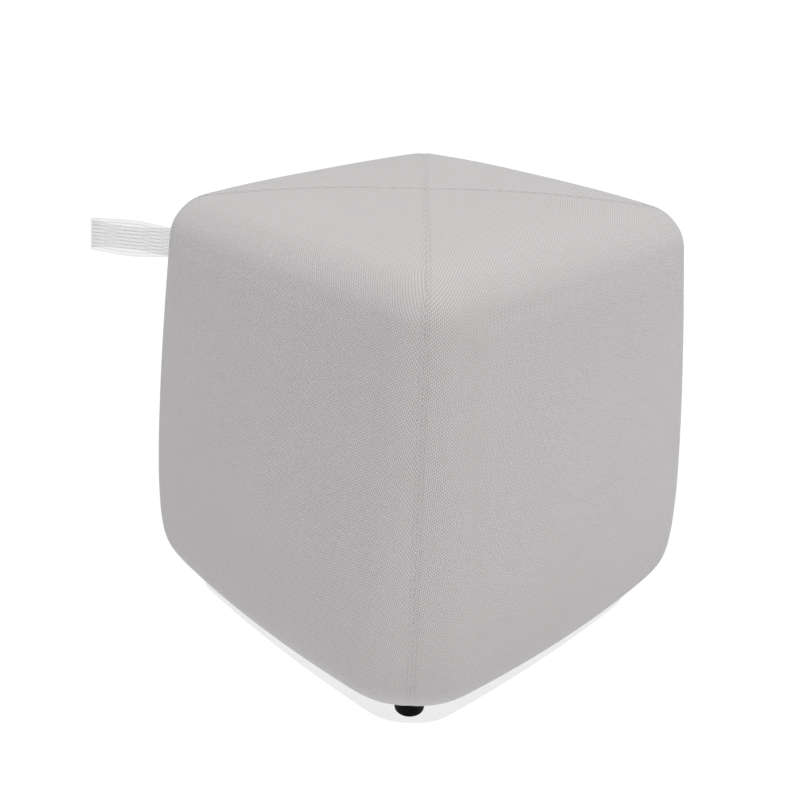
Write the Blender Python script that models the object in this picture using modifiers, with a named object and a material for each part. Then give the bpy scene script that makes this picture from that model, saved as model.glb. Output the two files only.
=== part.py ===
"""Cube pouf stool: a soft cube sewn from four like panels, with a webbing pull loop and a low base skirt.

Metres, +Z up. The origin is on the floor, on the pouf's vertical axis. The panels face -Y (front),
+X (right), +Y (back) and -X (left). Their seams run up the four corners and over the top and the
underside along the diagonals. The pull loop is caught in the seam between the left and front panels.
"""

import math
from collections import namedtuple
from functools import partial

import bmesh
import bpy
from mathutils import Matrix, Vector

# ---- Driving sizes -------------------------------------------------------------------------------
UNDERSIDE_HEIGHT = 0.024
TOP_EDGE_HEIGHT = 0.4286
CROWN = 0.0143
CROWN_POWER = 3.0
TOP_ROUNDING = 0.0315
GAP = 0.0003

# The body's level sections, from the underside up. half_width is measured to the middle of a face,
# bulge is how far that middle stands out past the face's ends, and corner_radius rounds the corner.
Section = namedtuple("Section", "height half_width bulge corner_radius")
SECTIONS = (
    Section(UNDERSIDE_HEIGHT, 0.1870, 0.0090, 0.055),
    Section(0.0265, 0.1935, 0.0095, 0.060),
    Section(0.0360, 0.2030, 0.0110, 0.066),
    Section(0.0500, 0.2155, 0.0140, 0.064),
    Section(0.0720, 0.2255, 0.0170, 0.062),
    Section(0.1300, 0.2298, 0.0215, 0.058),
    Section(0.2130, 0.2215, 0.0185, 0.052),
    Section(0.3030, 0.2073, 0.0122, 0.046),
    Section(TOP_EDGE_HEIGHT - TOP_ROUNDING, 0.1923, 0.0075, 0.039),
    Section(TOP_EDGE_HEIGHT, 0.1880, 0.0071, 0.037),
)

SEAM_DEPTH = 0.0012
SEAM_HALF_WIDTH = 0.005

STRAP_WIDTH = 0.029
STRAP_THICKNESS = 0.0018
STRAP_RIBS = 8
STRAP_RIB_DEPTH = 0.0004
STRAP_REACH = 0.0765
STRAP_END_RADIUS = 0.0055
STRAP_TUCK = 0.014
STRAP_HEIGHT = 0.383
STRAP_RISE = math.radians(5.5)
STRAP_CORNER_TURN = math.radians(225)
# Where one side of the loop runs: how far out from the corner seam, and how far across from its middle.
LoopPoint = namedtuple("LoopPoint", "outward across")
STRAP_ROUTE = (
    LoopPoint(-STRAP_TUCK, 0.0011),
    LoopPoint(0.0, 0.0011),
    LoopPoint(0.012, 0.0046),
    LoopPoint(0.034, 0.0108),
    LoopPoint(0.056, 0.0088),
    LoopPoint(STRAP_REACH - STRAP_END_RADIUS, STRAP_END_RADIUS),
)
POCKET_OUTER_LENGTH = 0.025

SKIRT_HALF_WIDTH = 0.186
SKIRT_BULGE = 0.008
SKIRT_CORNER_RADIUS = 0.050
SKIRT_THICKNESS = 0.002
SKIRT_CLEARANCE = 0.003

GLIDE_RADIUS = 0.014
GLIDE_EDGE_RADIUS = 0.002
GLIDE_PLACE = 0.146

PANEL_COLOUR, PANEL_ROUGHNESS = (0.52, 0.515, 0.51), 0.9
STRAP_COLOUR, STRAP_ROUGHNESS = (0.83, 0.83, 0.84), 0.5
SKIRT_COLOUR, SKIRT_ROUGHNESS, SKIRT_ALPHA = (0.10, 0.10, 0.105), 0.6, 0.16
GLIDE_COLOUR, GLIDE_ROUGHNESS = (0.012, 0.012, 0.013), 0.4

# ---- Fineness ------------------------------------------------------------------------------------
COLUMNS = 11  # from a panel's middle to its seam
COLUMN_CROWDING = 1.8  # the columns lie closer together towards the seam
UNDERSIDE_ROWS = 3
ROWS_PER_SECTION = 2
TOP_ROUNDING_ROWS = 7
TOP_ROWS = 8
TUCK_STEPS = 2
ROUTE_STEPS = 4
BEND_STEPS = 10
SKIRT_COLUMNS = 20
GLIDE_EDGE_STEPS = 3
GLIDE_SIDES = 32
SHARP_ANGLE = math.radians(35)
SAME_POINT = 1e-6
ON_AXIS = 1e-5

# The angle at which a row of a panel faces up, in degrees.
FACING_DOWN = -90
FACING_OUT_AND_DOWN = -60
FACING_OUT = 0
FACING_UP = 90

PANELS = (("panel_right", 0), ("panel_back", 90), ("panel_left", 180), ("panel_front", 270))
POCKET_PANELS = ("panel_left", "panel_front")
CORNERS = (("front_right", 1, -1), ("back_right", 1, 1), ("back_left", -1, 1), ("front_left", -1, -1))


# ---- Scene helpers -------------------------------------------------------------------------------
def clear_scene():
    for old in list(bpy.data.objects):
        bpy.data.objects.remove(old, do_unlink=True)


def new_collection(name):
    collection = bpy.data.collections.new(name)
    bpy.context.scene.collection.children.link(collection)
    return collection


def make_material(name, colour, roughness, alpha=1.0):
    material = bpy.data.materials.new(name)
    material.use_nodes = True
    shader = material.node_tree.nodes["Principled BSDF"]
    shader.inputs["Base Color"].default_value = (*colour, 1.0)
    shader.inputs["Roughness"].default_value = roughness
    shader.inputs["Metallic"].default_value = 0.0
    shader.inputs["Alpha"].default_value = alpha
    material.diffuse_color = (*colour, alpha)
    return material


def add_object(name, mesh, collection, material=None):
    thing = bpy.data.objects.new(name, mesh)
    collection.objects.link(thing)
    if material:
        mesh.materials.append(material)
    return thing


def finished_mesh(name, bm):
    """The mesh of this bmesh, facing out and shaded smooth but for its edges."""
    bmesh.ops.recalc_face_normals(bm, faces=bm.faces)
    mesh = bpy.data.meshes.new(name)
    bm.to_mesh(mesh)
    bm.free()
    mesh.shade_smooth()
    mesh.set_sharp_from_angle(angle=SHARP_ANGLE)
    return mesh


def loft_mesh(name, rings):
    """A closed solid through a row of rings, each a list of points, with its first and last rings capped."""
    bm = bmesh.new()
    loops = [[bm.verts.new(point) for point in ring] for ring in rings]
    for ring, following in zip(loops, loops[1:]):
        for k in range(len(ring)):
            j = (k + 1) % len(ring)
            bm.faces.new((ring[k], ring[j], following[j], following[k]))
    bm.faces.new(loops[0])
    bm.faces.new(loops[-1])
    return finished_mesh(name, bm)


# ---- Curves through a few named values -----------------------------------------------------------
def smooth_through(rows, place, column):
    """The named column's value at this place in the first column, on a smooth curve through the rows."""
    place = min(max(place, rows[0][0]), rows[-1][0])
    k = max(i for i in range(len(rows) - 1) if rows[i][0] <= place)

    def value(i):
        return getattr(rows[i], column)

    def slope(i):
        before, after = max(i - 1, 0), min(i + 1, len(rows) - 1)
        return (value(after) - value(before)) / (rows[after][0] - rows[before][0])

    span = rows[k + 1][0] - rows[k][0]
    s = (place - rows[k][0]) / span
    return (
        (1 + 2 * s) * (1 - s) ** 2 * value(k)
        + s * (1 - s) ** 2 * span * slope(k)
        + s * s * (3 - 2 * s) * value(k + 1)
        + s * s * (s - 1) * span * slope(k + 1)
    )


def rounded_side(t, half_width, corner_radius, bulge=0.0):
    """A point on a rounded square's +X side. t runs from -1 at one corner's middle to 1 at the next."""
    flat = half_width - corner_radius
    along = abs(t) * (flat + corner_radius * math.pi / 4)
    turn = max(along - flat, 0.0) / corner_radius
    x = flat + corner_radius * math.cos(turn)
    y = min(along, flat) + corner_radius * math.sin(turn)
    return x + bulge * (1 - t * t), math.copysign(y, t)


def body_outline(t, height, inset=0.0):
    """A point on the body's +X side at this height, moved in by inset."""
    half_width = smooth_through(SECTIONS, height, "half_width")
    bulge = smooth_through(SECTIONS, height, "bulge")
    corner_radius = smooth_through(SECTIONS, height, "corner_radius")
    return rounded_side(t, half_width - bulge - inset, corner_radius - inset, bulge)


def crown_at(x, y):
    """How far the top swells above its edge at this place."""
    reach = SECTIONS[-1].half_width - SECTIONS[-1].bulge
    across = min(abs(x) / reach, 1.0)
    along = min(abs(y) / reach, 1.0)
    return CROWN * (1 - across**CROWN_POWER) * (1 - along**CROWN_POWER)


# ---- Body panels ---------------------------------------------------------------------------------
def underside_point(t, share):
    x, y = body_outline(t, UNDERSIDE_HEIGHT)
    return share * x, share * y, UNDERSIDE_HEIGHT


def side_point(t, height):
    return (*body_outline(t, height), height)


def rounding_point(t, angle):
    """A point on the rounding between side and top. angle is 0 at the side and 90 at the top."""
    rise = math.sin(math.radians(angle))
    height = TOP_EDGE_HEIGHT - TOP_ROUNDING * (1 - rise)
    inset = TOP_ROUNDING * (1 - math.cos(math.radians(angle)))
    x, y = body_outline(t, height, inset)
    return x, y, height + rise * crown_at(x, y)


def top_point(t, share):
    x, y = body_outline(t, TOP_EDGE_HEIGHT, TOP_ROUNDING)
    x, y = share * x, share * y
    return x, y, TOP_EDGE_HEIGHT + crown_at(x, y)


def side_heights():
    """The heights of the side's rows, from the turned-under edge up to where the top's rounding starts."""
    heights = []
    for low, high in zip(SECTIONS[1:-2], SECTIONS[2:-1]):
        for k in range(ROWS_PER_SECTION):
            heights.append(low.height + (high.height - low.height) * k / ROWS_PER_SECTION)
    return heights


def panel_rows():
    """A panel's rows, from the underside's middle to the top's: a function of t, and how far it faces up."""
    rows = []
    for k in range(UNDERSIDE_ROWS):
        rows.append((partial(underside_point, share=k / UNDERSIDE_ROWS), FACING_DOWN))
    rows.append((partial(underside_point, share=1.0), FACING_OUT_AND_DOWN))
    for height in side_heights():
        rows.append((partial(side_point, height=height), FACING_OUT))
    for k in range(TOP_ROUNDING_ROWS + 1):
        angle = FACING_UP * k / TOP_ROUNDING_ROWS
        rows.append((partial(rounding_point, angle=angle), angle))
    for k in range(1, TOP_ROWS + 1):
        rows.append((partial(top_point, share=1 - k / TOP_ROWS), FACING_UP))
    return rows


def panel_columns():
    """Where a panel's columns lie, as values of t from seam to seam."""
    half = [1 - (1 - k / COLUMNS) ** COLUMN_CROWDING for k in range(COLUMNS + 1)]
    return [-t for t in reversed(half[1:])] + half


def seam_dip(point, facing_up):
    """Draws the surface in beside the seams, which lie on the diagonals."""
    x, y, z = point
    from_seam = (x - abs(y)) / math.sqrt(2)
    if from_seam >= SEAM_HALF_WIDTH or facing_up == FACING_DOWN:
        return point
    dip = SEAM_DEPTH * math.cos(0.5 * math.pi * from_seam / SEAM_HALF_WIDTH)
    inward = dip * math.cos(math.radians(facing_up)) / max(math.hypot(x, y), SAME_POINT)
    return x - x * inward, y - y * inward, z - dip * math.sin(math.radians(facing_up))


def panel_mesh():
    """The panel that faces +X, filled through to the pouf's axis, where its two seam faces meet."""
    rows = panel_rows()
    columns = panel_columns()
    bm = bmesh.new()
    bmesh.ops.create_grid(bm, x_segments=len(columns) - 1, y_segments=len(rows) - 1, size=1.0)
    for vert in bm.verts:
        column = round((vert.co.x + 1) / 2 * (len(columns) - 1))
        row = round((vert.co.y + 1) / 2 * (len(rows) - 1))
        place, facing_up = rows[row]
        vert.co = seam_dip(place(columns[column]), facing_up)
    bmesh.ops.remove_doubles(bm, verts=bm.verts, dist=SAME_POINT)
    close_seam_faces(bm)
    bmesh.ops.translate(bm, verts=bm.verts, vec=(GAP / math.sqrt(2), 0, 0))
    return finished_mesh("panel", bm)


def close_seam_faces(bm):
    """Joins the top's middle to the underside's, and closes each seam side with one face."""
    on_axis = [vert for vert in bm.verts if math.hypot(vert.co.x, vert.co.y) < ON_AXIS]
    bottom, top = sorted(on_axis, key=lambda vert: vert.co.z)
    bm.edges.new((bottom, top))
    open_edges = [edge for edge in bm.edges if edge.is_boundary]
    for side in (-1, 1):
        seam = {vert for edge in open_edges for vert in edge.verts if side * vert.co.y > -SAME_POINT}
        bm.faces.new(walk_seam(seam, open_edges, bottom, top))


def walk_seam(seam, open_edges, start, end):
    """The seam's points in order, from the underside's middle up to the top's."""
    order = [start]
    while order[-1] is not end:
        others = [edge.other_vert(order[-1]) for edge in open_edges if order[-1] in edge.verts]
        order.append(next(vert for vert in others if vert in seam and vert not in order))
    return order


def make_panels(collection, pocket):
    for name, turn in PANELS:
        material = make_material(name, PANEL_COLOUR, PANEL_ROUGHNESS)
        panel = add_object(name, panel_mesh(), collection, material)
        panel.rotation_euler.z = math.radians(turn)
        if name in POCKET_PANELS:
            cut = panel.modifiers.new("loop_pocket", "BOOLEAN")
            cut.operation = "DIFFERENCE"
            cut.solver = "EXACT"
            cut.object = pocket


# ---- Pull loop -----------------------------------------------------------------------------------
def loop_frame():
    """The loop's frame at the front-left corner seam: X out along it, Y across it, Z up its width."""
    x, y = body_outline(1.0, STRAP_HEIGHT)
    corner = Matrix.Translation((-x, -y, STRAP_HEIGHT))
    turn = Matrix.Rotation(STRAP_CORNER_TURN, 4, "Z")
    rise = Matrix.Rotation(-STRAP_RISE, 4, "Y")
    return corner @ turn @ rise


def loop_route():
    """The middle line of the whole loop, from one tucked end round to the other, as (outward, across)."""
    one_side = []
    for start, end in zip(STRAP_ROUTE, STRAP_ROUTE[1:]):
        steps = TUCK_STEPS if start is STRAP_ROUTE[0] else ROUTE_STEPS
        for k in range(steps):
            outward = start.outward + (end.outward - start.outward) * k / steps
            one_side.append((outward, smooth_through(STRAP_ROUTE, outward, "across")))
    bend = []
    for k in range(BEND_STEPS + 1):
        angle = math.pi * k / BEND_STEPS
        outward = STRAP_REACH - STRAP_END_RADIUS + STRAP_END_RADIUS * math.sin(angle)
        bend.append((outward, STRAP_END_RADIUS * math.cos(angle)))
    other_side = [(outward, -across) for outward, across in reversed(one_side)]
    return one_side + bend + other_side


def webbing_section():
    """The webbing's cross-section as (thickness, width) offsets: both faces ribbed along its length."""
    points = 2 * STRAP_RIBS
    face = []
    for k in range(points + 1):
        groove = STRAP_RIB_DEPTH if k % 2 == 0 else 0.0
        face.append((STRAP_THICKNESS / 2 - groove, (k / points - 0.5) * STRAP_WIDTH))
    return face + [(-offset, width) for offset, width in reversed(face)]


def strap_mesh():
    route = loop_route()
    rings = []
    for k, (outward, across) in enumerate(route):
        before, after = route[max(k - 1, 0)], route[min(k + 1, len(route) - 1)]
        along = Vector((after[0] - before[0], after[1] - before[1])).normalized()
        ring = []
        for offset, width in webbing_section():
            ring.append((outward - along.y * offset, across + along.x * offset, width))
        rings.append(ring)
    return loft_mesh("strap_loop", rings)


def make_strap(collection):
    material = make_material("strap_loop", STRAP_COLOUR, STRAP_ROUGHNESS)
    strap = add_object("strap_loop", strap_mesh(), collection, material)
    strap.matrix_world = loop_frame()


def make_pocket(collection):
    """The cutter for the pocket in the corner seam that holds the loop's two ends."""
    inside = STRAP_TUCK + GAP
    both_layers = 2 * (STRAP_ROUTE[0].across + STRAP_THICKNESS / 2)
    size = (inside + POCKET_OUTER_LENGTH, both_layers + 2 * GAP, STRAP_WIDTH + 2 * GAP)
    bm = bmesh.new()
    bmesh.ops.create_cube(bm, size=1.0)
    bmesh.ops.scale(bm, verts=bm.verts, vec=size)
    bmesh.ops.translate(bm, verts=bm.verts, vec=((POCKET_OUTER_LENGTH - inside) / 2, 0, 0))
    pocket = add_object("loop_pocket", finished_mesh("loop_pocket", bm), collection)
    pocket.matrix_world = loop_frame()
    pocket.hide_render = True
    pocket.display_type = "WIRE"
    return pocket


# ---- Base skirt and glides -----------------------------------------------------------------------
def skirt_mesh():
    """One side's strip of the base skirt, from corner seam to corner seam."""
    low, high = SKIRT_CLEARANCE, UNDERSIDE_HEIGHT - GAP
    rings = []
    for k in range(SKIRT_COLUMNS + 1):
        t = 2 * k / SKIRT_COLUMNS - 1
        outer, inner = (
            rounded_side(t, SKIRT_HALF_WIDTH - SKIRT_BULGE - inset, SKIRT_CORNER_RADIUS - inset, SKIRT_BULGE)
            for inset in (0.0, SKIRT_THICKNESS)
        )
        rings.append([(*outer, low), (*outer, high), (*inner, high), (*inner, low)])
    mesh = loft_mesh("base_skirt", rings)
    mesh.transform(Matrix.Translation((GAP / math.sqrt(2), 0, 0)))
    return mesh


def make_skirt(collection):
    for panel_name, turn in PANELS:
        name = panel_name.replace("panel", "base_skirt")
        material = make_material(name, SKIRT_COLOUR, SKIRT_ROUGHNESS, SKIRT_ALPHA)
        strip = add_object(name, skirt_mesh(), collection, material)
        strip.rotation_euler.z = math.radians(turn)


def glide_mesh():
    """A glide's profile, from its top's middle out and down to its foot's middle, to be turned about Z."""
    height = UNDERSIDE_HEIGHT - GAP
    profile = [(0.0, height), (GLIDE_RADIUS, height)]
    for k in range(GLIDE_EDGE_STEPS + 1):
        angle = math.pi / 2 * k / GLIDE_EDGE_STEPS
        radius = GLIDE_RADIUS - GLIDE_EDGE_RADIUS * (1 - math.cos(angle))
        profile.append((radius, GLIDE_EDGE_RADIUS * (1 - math.sin(angle))))
    profile.append((0.0, 0.0))
    edges = [(k, k + 1) for k in range(len(profile) - 1)]
    mesh = bpy.data.meshes.new("glide")
    mesh.from_pydata([(radius, 0.0, z) for radius, z in profile], edges, [])
    return mesh


def make_glides(collection):
    for corner, x_side, y_side in CORNERS:
        name = f"glide_{corner}"
        material = make_material(name, GLIDE_COLOUR, GLIDE_ROUGHNESS)
        glide = add_object(name, glide_mesh(), collection, material)
        glide.location = (x_side * GLIDE_PLACE, y_side * GLIDE_PLACE, 0.0)
        turn = glide.modifiers.new("turn", "SCREW")
        turn.steps = GLIDE_SIDES
        turn.render_steps = GLIDE_SIDES
        turn.use_merge_vertices = True
        turn.merge_threshold = SAME_POINT


def main():
    clear_scene()
    pouf = new_collection("cube_pouf_stool")
    cutters = new_collection("cutters")
    cutters.hide_render = True
    make_panels(pouf, make_pocket(cutters))
    make_strap(pouf)
    make_skirt(pouf)
    make_glides(pouf)
    bpy.context.view_layer.update()


main()
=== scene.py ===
"""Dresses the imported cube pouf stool: woven cover panels, seam stitching, webbing pull loop, sheer base
skirt and moulded glides, on a pale studio floor. Metres, +Z up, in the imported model's own frame.
"""

import math
from collections import namedtuple

import bmesh
import bpy
import numpy as np
from bpy.props import FloatProperty, FloatVectorProperty, IntProperty, PointerProperty
from bpy.types import Operator, Panel, PropertyGroup
from mathutils import Matrix, Vector


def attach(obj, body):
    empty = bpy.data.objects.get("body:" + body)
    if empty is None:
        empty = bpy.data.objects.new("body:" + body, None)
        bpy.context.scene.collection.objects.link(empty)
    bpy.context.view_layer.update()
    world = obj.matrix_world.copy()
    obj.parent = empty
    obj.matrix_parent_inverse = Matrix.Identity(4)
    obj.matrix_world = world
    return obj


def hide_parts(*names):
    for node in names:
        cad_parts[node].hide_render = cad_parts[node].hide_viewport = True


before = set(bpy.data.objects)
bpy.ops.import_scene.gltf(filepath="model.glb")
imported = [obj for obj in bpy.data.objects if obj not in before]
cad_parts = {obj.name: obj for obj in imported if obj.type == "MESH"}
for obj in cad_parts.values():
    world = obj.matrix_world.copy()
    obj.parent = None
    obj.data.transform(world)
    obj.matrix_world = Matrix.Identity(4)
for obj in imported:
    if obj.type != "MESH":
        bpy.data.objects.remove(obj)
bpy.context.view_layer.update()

bl_info = {
    "name": "Cube pouf stool",
    "version": (1, 0, 0),
    "blender": (4, 5, 0),
    "location": "3D View > Sidebar > Pouf",
    "description": "Cover, seams, pull loop, base skirt, glides and studio for the cube pouf stool",
    "category": "Object",
}

BODY = "root"

# ---- The pouf's shape, as its solids have it -------------
UNDERSIDE_HEIGHT = 0.024
TOP_EDGE_HEIGHT = 0.4286
CROWN = 0.0143
CROWN_POWER = 3.0
TOP_ROUNDING = 0.0315
GAP = 0.0003
SEWN_GAP = 0.00006  # the dressed panels meet more closely than their solids

# Level sections from the underside up. half_width is measured to the middle of a face, bulge is how far
# that middle stands out past the face's ends, and corner_radius rounds the corner.
Section = namedtuple("Section", "height half_width bulge corner_radius")
SECTIONS = (
    Section(UNDERSIDE_HEIGHT, 0.1870, 0.0090, 0.055),
    Section(0.0265, 0.1935, 0.0095, 0.060),
    Section(0.0360, 0.2030, 0.0110, 0.066),
    Section(0.0500, 0.2155, 0.0140, 0.064),
    Section(0.0720, 0.2255, 0.0170, 0.062),
    Section(0.1300, 0.2298, 0.0215, 0.058),
    Section(0.2130, 0.2215, 0.0185, 0.052),
    Section(0.3030, 0.2073, 0.0122, 0.046),
    Section(TOP_EDGE_HEIGHT - TOP_ROUNDING, 0.1923, 0.0075, 0.039),
    Section(TOP_EDGE_HEIGHT, 0.1880, 0.0071, 0.037),
)

# Where one side of the pull loop runs: how far out from the corner seam, and how far across from its middle.
LoopPoint = namedtuple("LoopPoint", "outward across")
LOOP_REACH = 0.0765
LOOP_END_RADIUS = 0.0055
LOOP_TUCK = 0.014
LOOP_HEIGHT = 0.383
LOOP_RISE = math.radians(5.5)
LOOP_CORNER_TURN = math.radians(225)
LOOP_ROUTE = (
    LoopPoint(-LOOP_TUCK, 0.0011),
    LoopPoint(0.0, 0.0011),
    LoopPoint(0.012, 0.0046),
    LoopPoint(0.034, 0.0108),
    LoopPoint(0.056, 0.0088),
    LoopPoint(LOOP_REACH - LOOP_END_RADIUS, LOOP_END_RADIUS),
)
FOLD_REACH = 0.011  # from the fold's middle to where the webbing's pressed end stops

SKIRT_HALF_WIDTH = 0.186
SKIRT_BULGE = 0.008
SKIRT_CORNER_RADIUS = 0.050
SKIRT_THICKNESS = 0.002
SKIRT_CLEARANCE = 0.003

GLIDE_PLACE = 0.146

PANELS = (("panel_right", 0), ("panel_back", 90), ("panel_left", 180), ("panel_front", 270))
CORNERS = (("front_right", 1, -1), ("back_right", 1, 1), ("back_left", -1, 1), ("front_left", -1, -1))

# How the dressed pouf has settled: how far out the corners are, and how wide a seam's drift is.
CORNER_REACH = 0.25
DRIFT_WIDTH = 0.045

# A panel's stations run from the underside's middle up to the top's.
HEM, ROUNDING_START, ROUNDING_END, TOP_MIDDLE = 1.0, 2.0, 3.0, 4.0
SAME_POINT = 1e-6
ON_AXIS = 1e-4  # how near the axis a point counts as lying on it


def smooth_through(rows, place, column):
    """The named column's values at these places in the first column, on a smooth curve through the rows."""
    at = np.array([row[0] for row in rows])
    value = np.array([getattr(row, column) for row in rows])
    before = np.maximum(np.arange(len(rows)) - 1, 0)
    after = np.minimum(np.arange(len(rows)) + 1, len(rows) - 1)
    slope = (value[after] - value[before]) / (at[after] - at[before])
    place = np.clip(place, at[0], at[-1])
    k = np.clip(np.searchsorted(at, place, side="right") - 1, 0, len(rows) - 2)
    span = at[k + 1] - at[k]
    s = (place - at[k]) / span
    return (
        (1 + 2 * s) * (1 - s) ** 2 * value[k]
        + s * (1 - s) ** 2 * span * slope[k]
        + s * s * (3 - 2 * s) * value[k + 1]
        + s * s * (s - 1) * span * slope[k + 1]
    )


def rounded_side(t, half_width, corner_radius, bulge=0.0):
    """Points on a rounded square's +X side. t runs from -1 at one corner's middle to 1 at the next."""
    flat = half_width - corner_radius
    along = np.abs(t) * (flat + corner_radius * math.pi / 4)
    turn = np.maximum(along - flat, 0.0) / corner_radius
    x = flat + corner_radius * np.cos(turn)
    y = np.minimum(along, flat) + corner_radius * np.sin(turn)
    return x + bulge * (1 - t * t), np.copysign(y, t)


def body_outline(t, height, inset=0.0):
    """Points on the body's +X side at these heights, moved in by inset."""
    half_width = smooth_through(SECTIONS, height, "half_width")
    bulge = smooth_through(SECTIONS, height, "bulge")
    corner_radius = smooth_through(SECTIONS, height, "corner_radius")
    return rounded_side(t, half_width - bulge - inset, corner_radius - inset, bulge)


def crown_at(x, y):
    """How far the top swells above its edge at these places."""
    reach = SECTIONS[-1].half_width - SECTIONS[-1].bulge
    across = np.minimum(np.abs(x) / reach, 1.0)
    along = np.minimum(np.abs(y) / reach, 1.0)
    return CROWN * (1 - across**CROWN_POWER) * (1 - along**CROWN_POWER)


def body_points(t, station):
    """Points on the panel that faces +X, as an array with x, y and z in its last axis."""
    t, station = np.broadcast_arrays(np.asarray(t, float), np.asarray(station, float))
    share = np.where(station < HEM, station, np.minimum(TOP_MIDDLE - station, 1.0))
    rise = np.sin(0.5 * math.pi * np.clip(station - ROUNDING_START, 0, 1))
    inset = TOP_ROUNDING * (1 - np.cos(0.5 * math.pi * np.clip(station - ROUNDING_START, 0, 1)))
    wall_top = TOP_EDGE_HEIGHT - TOP_ROUNDING
    wall = UNDERSIDE_HEIGHT + (wall_top - UNDERSIDE_HEIGHT) * np.clip(station - HEM, 0, 1)
    height = wall + TOP_ROUNDING * rise
    x, y = body_outline(t, height, inset)
    x, y = share * x, share * y
    return np.stack((x, y, height + rise * crown_at(x, y)), axis=-1)


def run_length(points):
    """How far each point lies along the line through them all."""
    steps = np.linalg.norm(np.diff(points, axis=0), axis=1)
    return np.concatenate(([0.0], np.cumsum(steps)))


STATIONS = np.linspace(0.0, TOP_MIDDLE, 4001)
LENGTHS = run_length(body_points(0.0, STATIONS))


def station_at(length):
    """The station this far up a panel's middle line."""
    return np.interp(length, LENGTHS, STATIONS)


def length_at(station):
    """How far up a panel's middle line a station lies."""
    return np.interp(station, STATIONS, LENGTHS)


def half_row(station):
    """The length of a panel's row from its middle to its seam."""
    return run_length(body_points(np.linspace(0.0, 1.0, 61), station))[-1]


# ---- Settings --------------------------------------------
def size_setting(name, description, default, least=0.0):
    limits = {"min": least, "unit": "LENGTH", "precision": 4}
    return FloatProperty(name=name, description=description, default=default, **limits)


def angle_setting(name, description, degrees):
    return FloatProperty(name=name, description=description, default=math.radians(degrees), unit="ROTATION")


def amount_setting(name, description, default):
    return FloatProperty(name=name, description=description, default=default, min=0.0)


def share_setting(name, description, default):
    return FloatProperty(name=name, description=description, default=default, min=0.0, max=1.0, subtype="FACTOR")


def colour_setting(name, description, default):
    return FloatVectorProperty(name=name, description=description, default=default, subtype="COLOR", min=0, max=1)


class PoufCover(PropertyGroup):
    # Painted light and shade: the warp is painted lighter, and the weft and the gaps darker, than the cloth's grey,
    # as light and shade fall on the weave.
    lit_warp_colour: colour_setting("Warp colour", "Colour of the threads up a panel", (0.672, 0.652, 0.649))
    shaded_weft_colour: colour_setting("Weft colour", "Colour of the threads across a panel", (0.456, 0.442, 0.440))
    gap_shade_colour: colour_setting("Gap colour", "Colour down between the threads", (0.437, 0.424, 0.422))
    thread_pitch: size_setting("Thread pitch", "From one thread's middle to the next one's", 0.0015, least=0.0003)
    weave_turn: angle_setting("Weave turn", "How far the threads are turned from upright", 9.5)
    weave_relief: size_setting("Weave relief", "Height of a thread over the gaps", 0.0003)
    drawn_in: size_setting("Drawn in", "How far the cloth is drawn in before it is filled", 0.0012)
    swell_limit: size_setting("Swell limit", "The furthest that the cloth swells past the solid", 0.0012)
    sink_limit: size_setting("Sink limit", "The furthest that the cloth lies inside the solid", 0.0002)
    pressure: amount_setting("Filling pressure", "Pressure of the filling on the cloth", 4.0)
    top_tilt: size_setting("Top tilt", "How far the top has sunk at the pull loop's corner", 0.0022)
    seam_drift: size_setting("Seam drift", "How far the far seam is out of line, towards the loop", 0.0055)


class PoufSeams(PropertyGroup):
    thread_colour: colour_setting("Thread colour", "Colour of the sewing thread", (0.53, 0.515, 0.512))
    # The cloth is a little darker between the seam and each stitch line.
    allowance_tone: share_setting("Allowance tone", "Tone of the doubled cloth between the stitch lines", 0.985)
    # Painted shade down in the creases of the closing seam, at the loop.
    closing_crease_shade: share_setting("Closing seam tone", "Tone in the creases of the last seam, at the loop", 0.66)
    offset: size_setting("Stitch line offset", "From the seam to the stitch line on each side", 0.003)
    stitch_length: size_setting("Stitch length", "From one stitch's start to the next one's", 0.0034, least=0.001)
    thread_width: size_setting("Thread width", "Thickness of the sewing thread", 0.00045)
    groove_depth: size_setting("Groove depth", "Depth of the groove at the seam", 0.0002)
    line_depth: size_setting("Stitch line depth", "How deep a stitch line is drawn in", 0.0003)
    dip_depth: size_setting("Dip depth", "How far the cloth dips beside a seam", 0.0004)
    dip_width: size_setting("Dip width", "How far from the seam the dip ends", 0.006, least=0.001)


class PoufLoop(PropertyGroup):
    rib_colour: colour_setting("Rib colour", "Colour of the webbing's ribs", (0.60, 0.575, 0.60))
    # The web between the ribs is painted darker: painted shade in the grooves between the ribs.
    shaded_web_colour: colour_setting("Web colour", "Colour of the sheer web between the ribs", (0.27, 0.255, 0.27))
    width: size_setting("Webbing width", "Width of the webbing", 0.029, least=0.01)
    thickness: size_setting("Webbing thickness", "Thickness of the webbing over its ribs", 0.0018)
    rib_depth: size_setting("Rib depth", "Height of a rib on one face", 0.0004)
    ribs: IntProperty(name="Ribs", description="Ribs along the webbing", default=8, min=2, max=20)
    rib_cover: share_setting("Rib cover", "How much a rib hides what is behind it", 0.14)
    web_cover: share_setting("Web cover", "How much the web between ribs hides what is behind it", 0.23)
    fold_cover: share_setting("Fold cover", "How much more the pressed fold at the loop's end hides", 0.02)


class PoufSkirt(PropertyGroup):
    # The skirt is a piece of its own. Its near-black sheer tint darkens the glowing floor seen through it, painting
    # the band of shade under the hem.
    colour: colour_setting("Skirt colour", "Colour of the sheer skirt cloth", (0.006, 0.006, 0.006))
    cover: share_setting("Skirt cover", "How much the skirt cloth hides what is behind it", 0.085)
    cloth_thickness: size_setting("Cloth thickness", "Thickness of the skirt cloth", 0.0006)
    hem_height: size_setting("Hem height", "Height of the rolled hem", 0.0024)
    hem_thickness: size_setting("Hem thickness", "Thickness of the rolled hem", 0.0018)


class PoufGlides(PropertyGroup):
    colour: colour_setting("Glide colour", "Colour of the glides", (0.003, 0.003, 0.0033))
    roughness: share_setting("Glide roughness", "Roughness of the glides' plastic", 0.55)
    radius: size_setting("Glide radius", "Radius of a glide", 0.014)
    edge_radius: size_setting("Foot edge radius", "Rounding of a glide's foot", 0.002)


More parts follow.
